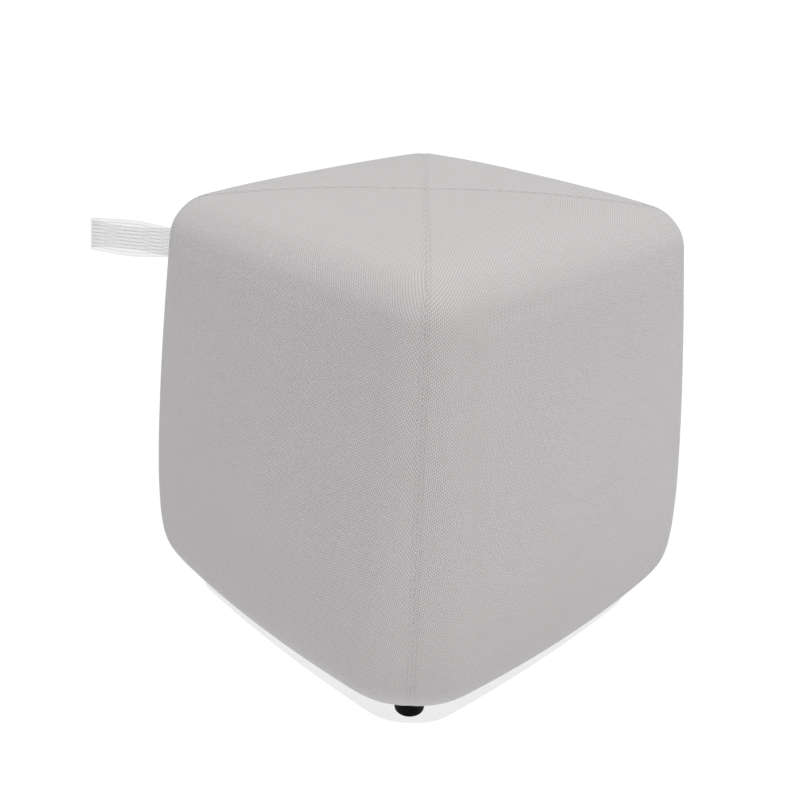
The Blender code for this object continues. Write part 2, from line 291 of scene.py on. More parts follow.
class PoufStage(PropertyGroup):
    lens: amount_setting("Lens", "Focal length in millimetres", 48.24)
    distance: size_setting("Camera distance", "From the camera to the point it looks at", 1.102)
    azimuth: angle_setting("Azimuth", "Turn of the camera round the pouf", 45.769)
    elevation: angle_setting("Elevation", "Height of the camera above the horizon", 24.993)
    roll: angle_setting("Roll", "Turn of the picture, clockwise", 1.77)
    aim_height: size_setting("Aim height", "Height of the point the camera looks at", 0.2225)
    aim_side: size_setting("Aim side", "How far right of the pouf's axis the camera looks", -0.0203, least=-1.0)
    horizon_strength: amount_setting("Horizon", "Strength of the white surroundings, low down", 0.36)
    zenith_strength: amount_setting("Zenith", "Strength of the white surroundings, overhead", 0.60)
    key_strength: amount_setting("Key light", "Strength of the broad soft light overhead", 1.97)
    key_lean: angle_setting("Key lean", "How far the light overhead leans to the right", 13.0)
    key_softness: angle_setting("Key softness", "How broad the light overhead looks from the pouf", 40.0)
    floor_glow: amount_setting("Floor glow", "How brightly the lit studio table glows from below", 0.98)
    floor_colour: colour_setting("Floor colour", "Colour of the studio floor", (0.04, 0.04, 0.04))
    floor_radius: size_setting("Floor radius", "Radius of the studio floor", 14.0)


# ---- Working on objects ----------------------------------
def use_only(thing):
    """Selects this object alone and makes it active."""
    bpy.ops.object.select_all(action="DESELECT")
    thing.select_set(True)
    bpy.context.view_layer.objects.active = thing


def new_primitive(name, add, **settings):
    """A primitive at its size and place, its place held in its mesh."""
    bpy.ops.object.select_all(action="DESELECT")
    add(**settings)
    thing = bpy.context.object
    thing.name = name
    thing.data.name = name
    bpy.ops.object.transform_apply(location=True, rotation=True, scale=True)
    return thing


def apply_modifier(thing, modifier):
    use_only(thing)
    bpy.ops.object.modifier_apply(modifier=modifier.name)


def points_of(mesh, kind="co"):
    flat = np.empty(len(mesh.vertices) * 3)
    mesh.vertices.foreach_get(kind, flat)
    return flat.reshape(-1, 3)


def normals_of(mesh):
    return points_of(mesh, "normal")


def move_points(mesh, points):
    mesh.vertices.foreach_set("co", np.asarray(points, float).ravel())
    mesh.update()


def values_of(mesh, name):
    values = np.empty(len(mesh.vertices))
    mesh.attributes[name].data.foreach_get("value", values)
    return values


def keep_values(mesh, name, values):
    attribute = mesh.attributes.new(name, "FLOAT", "POINT")
    attribute.data.foreach_set("value", np.asarray(values, float).ravel())


def keep_uv(mesh, name, across, along):
    """A UV map in metres from each vertex's place across and along the cloth."""
    vertex = np.empty(len(mesh.loops), int)
    mesh.loops.foreach_get("vertex_index", vertex)
    layer = mesh.uv_layers.new(name=name)
    layer.uv.foreach_set("vector", np.stack((across[vertex], along[vertex]), axis=-1).ravel())


def add_object(name, data):
    thing = bpy.data.objects.new(name, data)
    bpy.context.scene.collection.objects.link(thing)
    return thing


def grid_mesh(name, points):
    """A mesh of quads over points laid out in rows and columns."""
    rows, columns = points.shape[:2]
    number = np.arange(rows * columns).reshape(rows, columns)
    corners = (number[:-1, :-1], number[:-1, 1:], number[1:, 1:], number[1:, :-1])
    quads = np.stack(corners, axis=-1).reshape(-1, 4)
    mesh = bpy.data.meshes.new(name)
    mesh.from_pydata(points.reshape(-1, 3).tolist(), [], quads.tolist())
    return mesh


def loft_mesh(name, rings):
    """A closed solid through rings of points, with its first and last rings capped."""
    rings = np.asarray(rings)
    count, size = rings.shape[:2]
    number = np.arange(count * size).reshape(count, size)
    following = np.roll(number, -1, axis=1)
    corners = (number[:-1], following[:-1], following[1:], number[1:])
    quads = np.stack(corners, axis=-1).reshape(-1, 4).tolist()
    caps = [number[0].tolist(), number[-1].tolist()]
    mesh = bpy.data.meshes.new(name)
    mesh.from_pydata(rings.reshape(-1, 3).tolist(), [], quads + caps)
    bm = bmesh.new()
    bm.from_mesh(mesh)
    bmesh.ops.recalc_face_normals(bm, faces=bm.faces)
    bm.to_mesh(mesh)
    bm.free()
    return mesh


def smooth_but_for_edges(thing, degrees):
    use_only(thing)
    bpy.ops.object.shade_smooth_by_angle(angle=math.radians(degrees))


def turned(points, degrees):
    """Points turned about the pouf's axis."""
    cos, sin = math.cos(math.radians(degrees)), math.sin(math.radians(degrees))
    x, y, z = np.moveaxis(points, -1, 0)
    return np.stack((x * cos - y * sin, x * sin + y * cos, z), axis=-1)


def settle(piece):
    """Lets a piece follow the soft body: its top has sunk at the loop's corner, and its far seam is out of line."""
    cover = bpy.context.scene.pouf_cover
    x, y, z = points_of(piece.data).T
    from_loop, towards_near = (x + y) / math.sqrt(2), (x - y) / math.sqrt(2)
    farness = np.clip(0.5 - towards_near / (2 * CORNER_REACH), 0, 1)
    shift = cover.seam_drift * farness * np.exp(-((from_loop / DRIFT_WIDTH) ** 2)) / math.sqrt(2)
    rise = cover.top_tilt * from_loop / CORNER_REACH * (z / TOP_EDGE_HEIGHT) ** 2
    move_points(piece.data, np.stack((x - shift, y - shift, z + rise), axis=-1))


def dress(piece, material, slot, *replaced):
    """Gives a finished piece its material and its body, and hides the nodes that it stands for. The slot is not
    used.
    """
    piece.data.materials.clear()
    piece.data.materials.append(material)
    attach(piece, BODY)
    if replaced:
        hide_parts(*replaced)
    return piece


# ---- Building materials ----------------------------------
WHITE = (1.0, 1.0, 1.0, 1.0)


class Bench:
    """Adds nodes to one material and joins them up."""

    def __init__(self, name):
        self.material = bpy.data.materials.new(name)
        self.material.use_nodes = True
        self.tree = self.material.node_tree
        self.shader = self.tree.nodes["Principled BSDF"]

    def add(self, kind, **settings):
        node = self.tree.nodes.new(kind)
        for name, value in settings.items():
            setattr(node, name, value)
        return node

    def set(self, **values):
        """Feeds the shader's sockets, whose names have _ here for each space."""
        for name, value in values.items():
            self.feed(self.shader.inputs[name.replace("_", " ")], value)

    def feed(self, socket, value):
        if isinstance(value, bpy.types.NodeSocket):
            self.tree.links.new(value, socket)
        else:
            socket.default_value = value

    def math(self, operation, first, second=0.0):
        node = self.add("ShaderNodeMath", operation=operation)
        self.feed(node.inputs[0], first)
        self.feed(node.inputs[1], second)
        return node.outputs[0]

    def blend(self, share, first, second):
        """The first colour where the share is 0 and the second where it is 1."""
        node = self.add("ShaderNodeMix", data_type="RGBA")
        self.feed(node.inputs["Factor"], share)
        for socket, colour in zip((node.inputs[6], node.inputs[7]), (first, second)):
            self.feed(socket, colour if isinstance(colour, bpy.types.NodeSocket) else (*colour, 1.0))
        return node.outputs[2]

    def tint(self, colour, amount):
        """The colour made lighter or darker by an amount that is 1 where it stays as it is."""
        node = self.add("ShaderNodeVectorMath", operation="SCALE")
        self.feed(node.inputs[0], colour)
        self.feed(node.inputs["Scale"], amount)
        return node.outputs[0]

    def spread(self, value, low, high, to_low, to_high):
        """The value taken from one range to another, and held at its ends."""
        node = self.add("ShaderNodeMapRange")
        for socket, number in zip(node.inputs, (value, low, high, to_low, to_high)):
            self.feed(socket, number)
        return node.outputs[0]

    def noise(self, vector, scale, detail=2.0):
        node = self.add("ShaderNodeTexNoise")
        self.feed(node.inputs["Vector"], vector)
        self.feed(node.inputs["Scale"], scale)
        self.feed(node.inputs["Detail"], detail)
        return node.outputs["Fac"]

    def cloudy(self, vector, scale, least, most):
        """Values that drift between these two."""
        return self.spread(self.noise(vector, scale), 0.3, 0.7, least, most)

    def wave(self, place, wavelength):
        return self.math("SINE", self.math("MULTIPLY", place, 2 * math.pi / wavelength))

    def cloth_place(self, uv_name, turn=0.0):
        """The place on the cloth in metres, from its UV map, as (vector, across, along)."""
        place = self.add("ShaderNodeUVMap", uv_map=uv_name)
        turning = self.add("ShaderNodeMapping")
        self.feed(turning.inputs["Vector"], place.outputs[0])
        turning.inputs["Rotation"].default_value = (0.0, 0.0, turn)
        parts = self.add("ShaderNodeSeparateXYZ")
        self.feed(parts.inputs[0], turning.outputs[0])
        return turning.outputs[0], parts.outputs[0], parts.outputs[1]

    def object_place(self):
        return self.add("ShaderNodeTexCoord").outputs["Object"]

    def painted_crease_shade(self, closing_crease_shade):
        """The painted shade down in the creases: the closing seam's tone where X and Y have the same sign, and 1
        elsewhere.
        """
        parts = self.add("ShaderNodeSeparateXYZ")
        self.feed(parts.inputs[0], self.object_place())
        same_sign = self.math("GREATER_THAN", self.math("MULTIPLY", parts.outputs[0], parts.outputs[1]), 0.0)
        return self.spread(same_sign, 0.0, 1.0, 1.0, closing_crease_shade)

    def bump(self, height, depth):
        node = self.add("ShaderNodeBump")
        self.feed(node.inputs["Height"], height)
        node.inputs["Distance"].default_value = depth
        self.set(Normal=node.outputs[0])


# The finest detail: sizes in metres, and scales of noise in cells a metre.
OVER_LIFT = 0.5  # how much higher a thread lies where it crosses over, as a share of its height
THREAD_VARIATION = 0.012
COVER_SLUBS = 900.0
CREASE_START, CREASE_END = 0.0002, 0.0007
ALLOWANCE_FADE = 0.0012
PLY_LENGTH, PLY_RELIEF = 0.002856, 0.00005
WEBBING_PICK, WEBBING_SLUBS, WEBBING_RELIEF = 0.0009, 700.0, 0.00003
FOLD_FADE = 0.001
SKIRT_PITCH, SKIRT_CLOUDS, SKIRT_RELIEF = 0.0007, 60.0, 0.0001
GRAIN_SCALE, GRAIN_RELIEF = 2500.0, 0.00003


def plain_weave(bench, across, along, pitch):
    """A plain weave's height, from 0 in a gap to 1 on a thread, and 1 or 0 for warp or weft on top."""
    warp_wave, weft_wave = bench.wave(across, 2 * pitch), bench.wave(along, 2 * pitch)
    over = bench.math("MULTIPLY", bench.math("MULTIPLY", warp_wave, weft_wave), OVER_LIFT)
    warp = bench.math("ADD", bench.math("ABSOLUTE", warp_wave), over)
    weft = bench.math("SUBTRACT", bench.math("ABSOLUTE", weft_wave), over)
    height = bench.math("DIVIDE", bench.math("MAXIMUM", warp, weft), 1 + OVER_LIFT)
    on_top = bench.spread(bench.math("SUBTRACT", warp, weft), -0.6, 0.6, 0.0, 1.0)
    return height, on_top


def thread_tone(bench, place, pitch):
    """A little lighter or darker from one thread to the next."""
    number = bench.math("FLOOR", bench.math("DIVIDE", place, pitch))
    random = bench.add("ShaderNodeTexWhiteNoise", noise_dimensions="1D")
    bench.feed(random.inputs["W"], number)
    return bench.spread(random.outputs["Value"], 0.0, 1.0, 1 - THREAD_VARIATION, 1 + THREAD_VARIATION)


def cover_cloth(cover, seams):
    """A matt plain weave. Its warp is painted lighter, and its weft and the gaps between threads darker, as painted
    light and shade on the weave. Painted shade darkens the creases of the closing seam, and the cloth is a little
    darker over the seam allowance.
    """
    bench = Bench("cover_cloth")
    vector, across, along = bench.cloth_place("cloth", cover.weave_turn)
    height, warp_on_top = plain_weave(bench, across, along, cover.thread_pitch)
    # Painted light on the warp, and painted shade on the weft and in the gaps between threads.
    warp = bench.tint(cover.lit_warp_colour, thread_tone(bench, across, cover.thread_pitch))
    weft = bench.tint(cover.shaded_weft_colour, thread_tone(bench, along, cover.thread_pitch))
    threads = bench.blend(warp_on_top, weft, warp)
    cloth = bench.blend(bench.spread(height, 0.1, 0.6, 0.0, 1.0), cover.gap_shade_colour, threads)
    cloudy = bench.cloudy(bench.object_place(), 9.0, 0.99, 1.01)
    from_seam = bench.add("ShaderNodeAttribute", attribute_name="from_seam").outputs["Fac"]
    from_line = bench.math("ABSOLUTE", bench.math("SUBTRACT", from_seam, seams.offset))
    # A little darker between the seam and each stitch line.
    allowance = bench.spread(from_seam, seams.offset, seams.offset + ALLOWANCE_FADE, seams.allowance_tone, 1.0)
    # Painted shade: darker down in the creases at the seam and at each stitch line, at the closing seam only.
    crease_shade = bench.math("MINIMUM", from_seam, from_line)
    crease_shade = bench.spread(crease_shade, CREASE_START, CREASE_END, bench.painted_crease_shade(seams.closing_crease_shade), 1.0)
    tone = bench.math("MULTIPLY", cloudy, bench.math("MULTIPLY", allowance, crease_shade))
    bench.set(
        Base_Color=bench.tint(cloth, tone),
        Roughness=bench.spread(height, 0.0, 1.0, 0.96, 0.84),
        Specular_IOR_Level=0.25,
        Sheen_Weight=0.15,
        Sheen_Roughness=0.5,
    )
    slubs = bench.math("MULTIPLY", bench.noise(vector, COVER_SLUBS), 0.15)
    bench.bump(bench.math("ADD", height, slubs), cover.weave_relief)
    return bench.material


def sewing_thread(seams):
    """Two twisted plies, seen as slanting waves along the thread."""
    bench = Bench("sewing_thread")
    _, across, along = bench.cloth_place("thread")
    ply = bench.wave(bench.math("ADD", across, bench.math("MULTIPLY", along, 2.0)), PLY_LENGTH)
    tone = bench.spread(ply, -1.0, 1.0, 0.9, 1.05)
    bench.set(Base_Color=bench.tint(seams.thread_colour, tone), Roughness=0.7, Sheen_Weight=0.2)
    bench.bump(ply, PLY_RELIEF)
    return bench.material


def loop_webbing(loop, length):
    """See-through webbing: ribs along it, a sheer web between them painted darker as painted shade in the grooves,
    and a pressed fold halfway along.
    """
    bench = Bench("loop_webbing")
    vector, across, along = bench.cloth_place("webbing")
    rib = bench.math("ABSOLUTE", bench.wave(across, 2 * loop.width / loop.ribs))
    on_rib = bench.spread(rib, 0.15, 0.5, 0.0, 1.0)
    picks = bench.wave(along, WEBBING_PICK)
    slubs = bench.noise(vector, WEBBING_SLUBS)
    tone = bench.spread(bench.math("ADD", picks, slubs), -1.0, 2.0, 0.97, 1.02)
    from_fold = bench.math("ABSOLUTE", bench.math("SUBTRACT", along, length / 2))
    pressed = bench.spread(from_fold, FOLD_REACH - FOLD_FADE, FOLD_REACH + FOLD_FADE, loop.fold_cover, 0.0)
    cover = bench.spread(on_rib, 0.0, 1.0, loop.web_cover, loop.rib_cover)
    # Painted shade: the web between the ribs takes the darker colour.
    bench.set(
        Base_Color=bench.tint(bench.blend(on_rib, loop.shaded_web_colour, loop.rib_colour), tone),
        Alpha=bench.math("ADD", cover, pressed),
        Roughness=0.5,
        Sheen_Weight=0.1,
    )
    bench.bump(bench.math("ADD", bench.math("MULTIPLY", picks, 0.5), slubs), WEBBING_RELIEF)
    return bench.material


def skirt_cloth(skirt):
    """A thin, dark, dull film of fine threads, so that what lies behind it keeps its own tone. Its dark see-through
    tint paints the pale band of shade on the floor under the hem.
    """
    bench = Bench("skirt_cloth")
    vector, across, along = bench.cloth_place("cloth")
    height, _ = plain_weave(bench, across, along, SKIRT_PITCH)
    cover = bench.spread(height, 0.0, 1.0, 0.7 * skirt.cover, 1.2 * skirt.cover)
    bench.set(
        Base_Color=bench.tint(skirt.colour, bench.spread(height, 0.0, 1.0, 0.9, 1.05)),
        Alpha=bench.math("ADD", cover, bench.cloudy(vector, SKIRT_CLOUDS, -0.01, 0.01)),
        Roughness=0.8,
        Specular_IOR_Level=0.0,
    )
    bench.bump(height, SKIRT_RELIEF)
    return bench.material


def glide_plastic(glides):
    """Black moulded plastic with a fine grain."""
    bench = Bench("glide_plastic")
    grain = bench.noise(bench.object_place(), GRAIN_SCALE, 3.0)
    rough = bench.spread(grain, 0.3, 0.7, glides.roughness - 0.06, glides.roughness + 0.06)
    bench.set(Base_Color=(*glides.colour, 1.0), Roughness=rough, Specular_IOR_Level=0.05)
    bench.bump(grain, GRAIN_RELIEF)
    return bench.material


def studio_floor(stage):
    """A dull white table, lit from below."""
    bench = Bench("studio_floor")
    tone = bench.cloudy(bench.object_place(), 3.0, 0.995, 1.005)
    bench.set(
        Base_Color=bench.tint(stage.floor_colour, tone),
        Roughness=0.95,
        Specular_IOR_Level=0.1,
        Emission_Color=WHITE,
        Emission_Strength=stage.floor_glow,
    )
    return bench.material


# ---- The sewn form, swelled by its filling ---------------
FORM_CUTS = 63
ROW_SAMPLES = np.linspace(0, TOP_MIDDLE, 201)
FREE_FROM_SEAM = 0.040
HELD_BESIDE_SEAM = 0.001
SIM_FRAMES = 20


def form_places(points):
    """For points on a cube from -1 to 1: the panel's turn, t and the station of each."""
    x, y, z = points.T
    reach = np.maximum(np.abs(x), np.abs(y))
    turn = np.where(np.abs(x) >= np.abs(y), np.where(x > 0, 0, 180), np.where(y > 0, 90, 270))
    angle = np.radians(turn)
    across = -x * np.sin(angle) + y * np.cos(angle)
    t = np.clip(across / np.maximum(reach, SAME_POINT), -1, 1)
    low, high = length_at(HEM), length_at(ROUNDING_END)
    wall = station_at(low + (high - low) * (z + 1) / 2)
    on_underside, on_top = z < -1 + SAME_POINT, z > 1 - SAME_POINT
    station = np.where(on_underside, reach, np.where(on_top, TOP_MIDDLE - reach, wall))
    return turn, t, station


def swelled_form(cover):
    """One closed skin of the whole pouf, drawn in between its seams and swelled by the filling's pressure."""
    form = new_primitive("form", bpy.ops.mesh.primitive_cube_add, size=2.0)
    bpy.ops.object.mode_set(mode="EDIT")
    bpy.ops.mesh.select_all(action="SELECT")
    bpy.ops.mesh.subdivide(number_cuts=FORM_CUTS)
    bpy.ops.object.mode_set(mode="OBJECT")
    turn, t, station = form_places(points_of(form.data))
    points = body_points(t, station)
    for degrees in (0, 90, 180, 270):
        points[turn == degrees] = turned(points[turn == degrees], degrees)
    move_points(form.data, points)
    row_lengths = [half_row(sample) for sample in ROW_SAMPLES]
    from_seam = (1 - np.abs(t)) * np.interp(station, ROW_SAMPLES, row_lengths)
    from_hem = np.maximum(length_at(station) - length_at(HEM), 0)
    free = np.clip(np.minimum(from_seam, from_hem) / FREE_FROM_SEAM, 0, 1)
    free = free * free * (3 - 2 * free)
    normals = normals_of(form.data)
    move_points(form.data, points - normals * (cover.drawn_in * free)[:, None])
    held = form.vertex_groups.new(name="held")
    still = np.flatnonzero((from_seam < HELD_BESIDE_SEAM) | (station <= HEM + SAME_POINT))
    held.add(still.tolist(), 1.0, "REPLACE")
    cloth = form.modifiers.new("Cloth", "CLOTH")
    cloth.settings.quality = 5
    cloth.settings.mass = 0.3
    cloth.settings.use_pressure = True
    cloth.settings.uniform_pressure_force = cover.pressure
    cloth.settings.vertex_group_mass = held.name
    cloth.settings.effector_weights.gravity = 0
    cloth.collision_settings.use_collision = False
    cloth.point_cache.frame_start = 1
    cloth.point_cache.frame_end = SIM_FRAMES
    for number in range(1, SIM_FRAMES + 1):
        bpy.context.scene.frame_set(number)
    apply_modifier(form, cloth)
    swell = np.sum((points_of(form.data) - points) * normals, axis=1)
    limit = np.where(swell > 0, cover.swell_limit, cover.sink_limit)
    move_points(form.data, points + normals * (limit * np.tanh(swell / limit))[:, None])
    finer = form.modifiers.new("Finer", "SUBSURF")
    finer.levels = 1
    finer.render_levels = 1
    apply_modifier(form, finer)
    bpy.context.scene.frame_set(1)
    return form


# ---- Cover panels ----------------------------------------
ROW_SPACING = 0.0036
SEAM_COLUMNS = (0.0, 0.0004, 0.0009, 0.0015, 0.0021, 0.0026, 0.0030, 0.0034, 0.0039, 0.0048, 0.0062, 0.0082, 0.011)
FIELD_COLUMNS = 58
SHRINK_REACH = 0.02
GROOVE_WIDTH = 0.0006
LINE_WIDTH = 0.00045
HEM_FADE = 0.05  # in stations above the hem, where the seams' relief begins


def panel_layout():
    """Each point of a panel's grid: t, station, distance from the seam, and its place across and up the cloth."""
    rows = np.linspace(0.0, LENGTHS[-1], int(LENGTHS[-1] / ROW_SPACING) + 1)
    stations = station_at(rows)
    edge = SEAM_COLUMNS[-1]
    layout = []
    for up, station in zip(rows, stations):
        half = half_row(station)
        field = edge + max(half - edge, 0.0) * np.arange(1, FIELD_COLUMNS + 1) / FIELD_COLUMNS
        from_seam = np.minimum(np.concatenate((SEAM_COLUMNS, field)), half)
        side = 1 - from_seam / max(half, SAME_POINT) if half > SAME_POINT else np.zeros(len(from_seam))
        t = np.concatenate((-side, side[-2::-1]))
        distance = np.concatenate((from_seam, from_seam[-2::-1]))
        layout.append(np.stack((t, np.full(len(t), station), distance, t * half, np.full(len(t), up)), axis=-1))
    return np.array(layout)


def panel_cloth():
    """The cloth of the panel that faces +X, with its UV map and its distance from the seam."""
    layout = panel_layout()
    t, station, from_seam, across, up = np.moveaxis(layout, -1, 0)
    mesh = grid_mesh("panel", body_points(t, station))
    keep_values(mesh, "from_seam", from_seam)
    keep_values(mesh, "station", station)
    keep_values(mesh, "across", across)
    keep_uv(mesh, "cloth", across.ravel(), up.ravel())
    bm = bmesh.new()
    bm.from_mesh(mesh)
    bmesh.ops.remove_doubles(bm, verts=bm.verts, dist=SAME_POINT)
    bm.to_mesh(mesh)
    bm.free()
    return mesh


def seam_relief(from_seam, seams):
    """How far the surface lies below the cloth's own level beside a seam."""
    dip = np.where(from_seam < seams.dip_width, np.cos(0.5 * math.pi * from_seam / seams.dip_width) ** 2, 0.0)
    groove = np.exp(-((from_seam / GROOVE_WIDTH) ** 2))
    line = np.exp(-(((from_seam - seams.offset) / LINE_WIDTH) ** 2))
    return seams.dip_depth * dip + seams.groove_depth * groove + seams.line_depth * line


def sink_seams(mesh, seams):
    """Sinks the grooves and stitch lines, and lays the panel's edges exactly in the seams' planes."""
    points, normals = points_of(mesh), normals_of(mesh)
    from_seam, station = values_of(mesh, "from_seam"), values_of(mesh, "station")
    side = np.sign(values_of(mesh, "across"))
    plane = np.stack((np.ones(len(side)), -side, np.zeros(len(side))), axis=-1) / math.sqrt(2)
    on_edge = from_seam < SAME_POINT
    normals[on_edge] -= plane[on_edge] * np.sum(normals * plane, axis=1)[on_edge, None]
    normals /= np.maximum(np.linalg.norm(normals, axis=1), SAME_POINT)[:, None]
    shown = np.clip((station - HEM) / HEM_FADE, 0, 1)
    points -= normals * (seam_relief(from_seam, seams) * shown)[:, None]
    points[on_edge] -= plane[on_edge] * np.sum(points * plane, axis=1)[on_edge, None]
    move_points(mesh, points)


def close_seam_faces(mesh):
    """Joins the top's middle to the underside's, and closes each seam side with one face."""
    bm = bmesh.new()
    bm.from_mesh(mesh)
    on_axis = [vert for vert in bm.verts if math.hypot(vert.co.x, vert.co.y) < ON_AXIS]
    bottom, top = min(on_axis, key=lambda v: v.co.z), max(on_axis, key=lambda v: v.co.z)
    open_edges = [edge for edge in bm.edges if edge.is_boundary]
    around = {}
    for edge in open_edges:
        for vert in edge.verts:
            around.setdefault(vert, []).append(edge.other_vert(vert))
    bm.edges.new((bottom, top))
    for first in around[bottom]:
        order = [bottom, first]
        while order[-1] is not top:
            order.append(next(vert for vert in around[order[-1]] if vert is not order[-2]))
        bm.faces.new(order)
    bmesh.ops.recalc_face_normals(bm, faces=bm.faces)
    bm.to_mesh(mesh)
    bm.free()


def make_panel(name, degrees, cloth, form, seams):
    mesh = cloth.copy()
    mesh.name = name
    panel = add_object(name + "_cloth", mesh)
    move_points(mesh, turned(points_of(mesh), degrees))
    if form:
        wrap = panel.modifiers.new("Onto the form", "SHRINKWRAP")
        wrap.target = form
        wrap.wrap_method = "PROJECT"
        wrap.use_negative_direction = True
        wrap.use_positive_direction = True
        wrap.project_limit = SHRINK_REACH
        apply_modifier(panel, wrap)
    mesh = panel.data
    move_points(mesh, turned(points_of(mesh), -degrees))
    sink_seams(mesh, seams)
    close_seam_faces(mesh)
    points = points_of(mesh)
    points[:, 0] += SEWN_GAP / math.sqrt(2)
    move_points(mesh, turned(points, degrees))
    settle(panel)
    smooth_but_for_edges(panel, degrees=50)
    return panel


class POUF_OT_cover_panels(Operator):
    """Sews the four cover panels, swells them with the filling and gives them their woven cloth"""

    bl_idname = "pouf.cover_panels"
    bl_label = "Cover panels"

    def execute(self, context):
        cover, seams = context.scene.pouf_cover, context.scene.pouf_seams
        form = swelled_form(cover)
        cloth = panel_cloth()
        material = cover_cloth(cover, seams)
        for name, degrees in PANELS:
            panel = make_panel(name, degrees, cloth, form, seams)
            dress(panel, material, "cover_cloth", name)
        if form:
            bpy.data.objects.remove(form)
        bpy.data.meshes.remove(cloth)
        return {"FINISHED"}


# ---- Seam stitches ---------------------------------------
STITCH_SHARE = 0.80
STITCHES_START = 1.06
STITCH_BOW = 0.00012


def stitch_model(seams):
    """One stitch along X: a short thread, bowed up and with its ends running down into the cloth."""
    stitch = new_primitive("stitch", bpy.ops.mesh.primitive_uv_sphere_add, segments=6, ring_count=6, radius=1.0)
    points = points_of(stitch.data)
    along, across, up = points[:, 2], points[:, 0], points[:, 1]
    length = seams.stitch_length * STITCH_SHARE
    points = np.stack((along * length / 2, across * seams.thread_width / 2, up * seams.thread_width / 2), axis=-1)
    points[:, 2] += STITCH_BOW * (1 - 2 * along**2)
    faces = [tuple(face.vertices) for face in stitch.data.polygons]
    bpy.data.objects.remove(stitch)
    return points, faces


def stitch_line(panel, side, seams):
    """The panel's points and normals along one stitch line, from the hem up to where the lines cross."""
    mesh = panel.data
    from_seam, station = values_of(mesh, "from_seam"), values_of(mesh, "station")
    across = values_of(mesh, "across")
    column = min(SEAM_COLUMNS, key=lambda place: abs(place - seams.offset))
    on_line = (np.abs(from_seam - column) < SAME_POINT) & (np.sign(across) == side) & (station > STITCHES_START)
    chosen = np.flatnonzero(on_line)
    chosen = chosen[np.argsort(station[chosen])]
    return points_of(mesh)[chosen], normals_of(mesh)[chosen]


def sew(line, normals, model, seams):
    """The points of each stitch along a line, end to end."""
    run = run_length(line)
    reach = seams.stitch_length / 2

    def along_line(rows, place):
        return np.array([np.interp(place, run, column) for column in rows.T])

    stitches = []
    for place in np.arange(reach, run[-1] - reach, seams.stitch_length):
        along = along_line(line, place + reach) - along_line(line, place - reach)
        along /= np.linalg.norm(along)
        normal = along_line(normals, place)
        normal -= along * (normal @ along)
        normal /= np.linalg.norm(normal)
        stitches.append(along_line(line, place) + model @ np.stack((along, np.cross(normal, along), normal)))
    return stitches


class POUF_OT_seam_stitches(Operator):
    """Sews a line of stitches along both sides of every seam"""

    bl_idname = "pouf.seam_stitches"
    bl_label = "Seam stitches"

    def execute(self, context):
        seams = context.scene.pouf_seams
        model, faces = stitch_model(seams)
        material = sewing_thread(seams)
        for name, _ in PANELS:
            panel = bpy.data.objects[name + "_cloth"]
            lines = [stitch_line(panel, side, seams) for side in (-1, 1)]
            stitches = [stitch for line in lines for stitch in sew(*line, model, seams)]
            starts = range(0, len(stitches) * len(model), len(model))
            mesh = bpy.data.meshes.new(name + "_stitches")
            all_faces = [tuple(start + k for k in face) for start in starts for face in faces]
            mesh.from_pydata(np.concatenate(stitches).tolist(), [], all_faces)
            keep_uv(mesh, "thread", np.tile(model[:, 1], len(stitches)), np.tile(model[:, 0], len(stitches)))
            mesh.shade_smooth()
            dress(add_object(name + "_stitches", mesh), material, "cover_cloth")
        return {"FINISHED"}


# ---- Pull loop -------------------------------------------
LOOP_STEPS = 10
BEND_STEPS = 24
POINTS_PER_RIB = 6


def loop_frame():
    """The loop's frame at the front-left corner seam: X out along it, Y across it, Z up its width."""
    x, y = body_outline(1.0, LOOP_HEIGHT)
    corner = Matrix.Translation((-x, -y, LOOP_HEIGHT))
    return corner @ Matrix.Rotation(LOOP_CORNER_TURN, 4, "Z") @ Matrix.Rotation(-LOOP_RISE, 4, "Y")


def loop_route():
    """The middle line of the whole loop, from one tucked end round to the other, as (outward, across)."""
    one_side = []
    for start, end in zip(LOOP_ROUTE, LOOP_ROUTE[1:]):
        outward = start.outward + (end.outward - start.outward) * np.arange(LOOP_STEPS) / LOOP_STEPS
        one_side += list(zip(outward, smooth_through(LOOP_ROUTE, outward, "across")))
    angle = np.linspace(0.0, math.pi, BEND_STEPS + 1)
    centre = LOOP_REACH - LOOP_END_RADIUS
    bend = list(zip(centre + LOOP_END_RADIUS * np.sin(angle), LOOP_END_RADIUS * np.cos(angle)))
    return np.array(one_side + bend + [(outward, -across) for outward, across in reversed(one_side)])


def webbing_section(loop):
    """The webbing's cross-section as (thickness, width) offsets, with rounded ribs on both faces."""
    count = loop.ribs * POINTS_PER_RIB
    place = np.arange(count + 1) / count
    rib = np.sqrt(np.abs(np.sin(math.pi * loop.ribs * place)))
    half = loop.thickness / 2 - loop.rib_depth * (1 - rib)
    face = np.stack((half, (place - 0.5) * loop.width), axis=-1)
    return np.concatenate((face, face[::-1] * (-1, 1)))


class POUF_OT_pull_loop(Operator):
    """Folds the ribbed webbing into the pull loop at the front-left corner seam"""

    bl_idname = "pouf.pull_loop"
    bl_label = "Pull loop"

    def execute(self, context):
        loop = context.scene.pouf_loop
        route = loop_route()
        along = np.gradient(route, axis=0)
        along /= np.linalg.norm(along, axis=1)[:, None]
        offset, width = webbing_section(loop).T
        outward = route[:, :1] - along[:, 1:] * offset
        across = route[:, 1:] + along[:, :1] * offset
        rings = np.stack((outward, across, np.broadcast_to(width, outward.shape)), axis=-1)
        mesh = loft_mesh("pull_loop", rings)
        run = run_length(route)
        keep_uv(mesh, "webbing", np.tile(width + loop.width / 2, len(route)), np.repeat(run, len(width)))
        mesh.transform(loop_frame())
        piece = add_object("pull_loop", mesh)
        settle(piece)
        smooth_but_for_edges(piece, degrees=60)
        dress(piece, loop_webbing(loop, float(run[-1])), "loop_webbing", "strap_loop")
        return {"FINISHED"}


